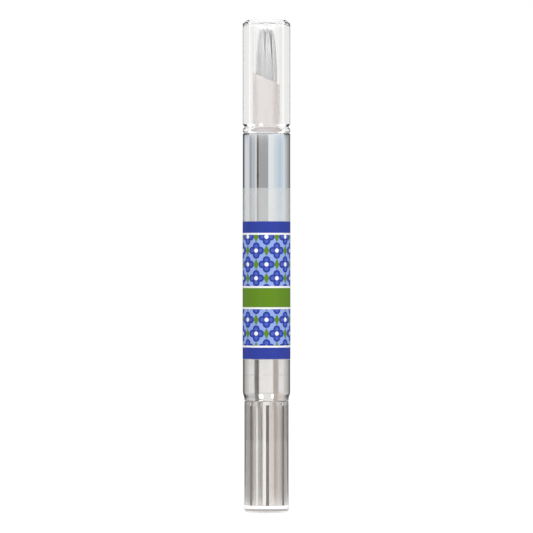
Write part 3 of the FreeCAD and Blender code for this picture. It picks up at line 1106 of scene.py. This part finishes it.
# The collar mirrors cards at its own height and below, so that it shows them from above too.
collar_sight = (12, 104)
collar_reach = 0.2
card("left_black_flag", -175, -140, collar_sight, "#202020", "#6a6c70", reach=collar_reach)
card("left_fade", -140, -126, collar_sight, "#8a8f94", "#c4c8cc", reach=collar_reach)
card("left_screen", -126, -90, collar_sight, "#e2e4e8", "#dcdee2", reach=collar_reach)
card("left_gap", -90, -77, collar_sight, "#a9a5ad", reach=collar_reach)
card("left_sheet", -77, -58, collar_sight, "#bfc2c6", reach=collar_reach)
card("left_bright", -58, -47, collar_sight, "#d8dbe0", reach=collar_reach)
card("brown_edge", -47, -38.5, collar_sight, "#5c5348", reach=collar_reach)
card("grey_panel", -38.5, 8.5, collar_sight, "#ababab", reach=collar_reach)
card("right_screen", 8.5, 34, collar_sight, "#eff2f4", "#eceeee", reach=collar_reach)
card("blue_sheet", 34, 72, collar_sight, "#e3e8ec", "#bfd0e0", reach=collar_reach)
card("right_sheet", 72, 101, collar_sight, "#cbd8e4", "#e4e8ea", reach=collar_reach)
card("right_black_flag", 101, 170, collar_sight, "#cfd1d2", "#101010", reach=collar_reach)

# The cap has dark flags at its sides for its edges, and pale sheets round it for its walls. Taller
# grey and brown sheets shade the sides of the nozzle and the tuft. The high ring and the back flag
# show in faces that look up, such as the rims and the cap's chamfer.
cap_sight = (116, 180)
flag_sight = (10, 220)
flag_reach = 0.3
card("left_cap_flag", -175, -95, flag_sight, "#242424", "#606060", reach=flag_reach)
card("right_cap_flag", 95, 175, flag_sight, "#606060", "#242424", reach=flag_reach)
card("left_back_sheet", -165, -120, cap_sight, "#f2f2f0", seen="through")
card("right_back_sheet", 120, 165, cap_sight, "#f2f2f0", seen="through")
sheet_reach = 0.35
card("front_sheet", -118, 118, (62, 104), "#d6d6d4", None, "#ffffff", sheet_reach, seen="through")
card("front_sheet_foot", -118, 118, (30, 62), "#ffffff", None, "#d6d6d4", sheet_reach, seen="through")
nozzle_sight = (104, 420)
card("nozzle_left", -98, -62, nozzle_sight, "#3c3836", seen="through")
card("nozzle_right", 40, 100, nozzle_sight, "#6a4226", "#46240c", seen="through")
card("high_ring", 0, 360, (190, 900), "#9aa4aa", reach=0.35)
card("back_flag", 100, 260, (135, 600), "#1c1618", reach=0.32)

# Through the clear barrel and knob, the silvered plastic mirrors cards close by. Pale ones higher up
# show in the barrel's taper, and leaning flags darken the sides of the barrel and the knob.
near = 0.05
bush_sight = (27.8, 64)
card("bush_left", -180, -105, bush_sight, "#6a6663", "#eeecea", reach=near, seen="through")
card("bush_brown", -67, -40, bush_sight, "#645c54", reach=near, seen="through")
card("bush_tan", 36, 67, bush_sight, "#b8a595", "#c6bfb9", reach=near, seen="through")
card("bush_right", 102, 180, bush_sight, "#eeecea", "#8c8784", reach=near, seen="through")
taper_sight = (42, 64)
card("taper_left", -105, -67, taper_sight, "#d6d6d8", reach=near, seen="through")
card("taper_right", 67, 102, taper_sight, "#f0e0d6", reach=near, seen="through")
knob_sight = (0.1, 27.8)
card("knob_back", 132, 255, knob_sight, "#b5afab", "#a29d99", reach=near, seen="through")
card("knob_left_dark", -105, -88, knob_sight, "#8f8a86", "#a5a09c", reach=near, seen="through")
card("knob_left_light", -88, -67, knob_sight, "#cfcac6", reach=near, seen="through")
card("knob_grey", -57, -24, knob_sight, "#c5c2bf", "#938d87", reach=near, seen="through")
card("knob_pink", 19, 48, knob_sight, "#ece5e0", reach=near, seen="through")
card("knob_tan", 48, 71, knob_sight, "#b5a293", "#c5b7ac", reach=near, seen="through")
card("knob_right_light", 71, 98, knob_sight, "#d6cfca", reach=near, seen="through")
card("knob_brown", 98, 132, knob_sight, "#b0a8a3", "#a59b94", reach=near, seen="through")
rim_sight = (0.1, 42)
rim_reach = 0.008
rim_lean = 0.042
card("left_rim_flag", -178, -120, rim_sight, "#3a3836", reach=rim_reach, lean=rim_lean)
card("right_rim_flag", 120, 178, rim_sight, "#3a3836", reach=rim_reach, lean=rim_lean)


# Camera: level with the pen's middle and square to its front, far enough away that the pen
# shows almost no perspective.
camera_distance = 1.28
picture_width = 0.13927
camera_height = 0.06425
lens = bpy.data.cameras.new("camera")
lens.sensor_width = 36
lens.lens = lens.sensor_width * camera_distance / picture_width
lens.clip_start = 0.05
lens.clip_end = 20
camera = bpy.data.objects.new("camera", lens)
camera.location = (0, -camera_distance, camera_height)
camera.rotation_euler = (math.radians(90), 0, 0)
bpy.context.scene.collection.objects.link(camera)
bpy.context.scene.camera = camera
bpy.context.scene.view_settings.view_transform = "Standard"

# Light crosses many clear faces in the cap's mouth and in the knob before it leaves them.
bpy.context.scene.cycles.max_bounces = 40
bpy.context.scene.cycles.transmission_bounces = 40
bpy.context.scene.cycles.glossy_bounces = 20
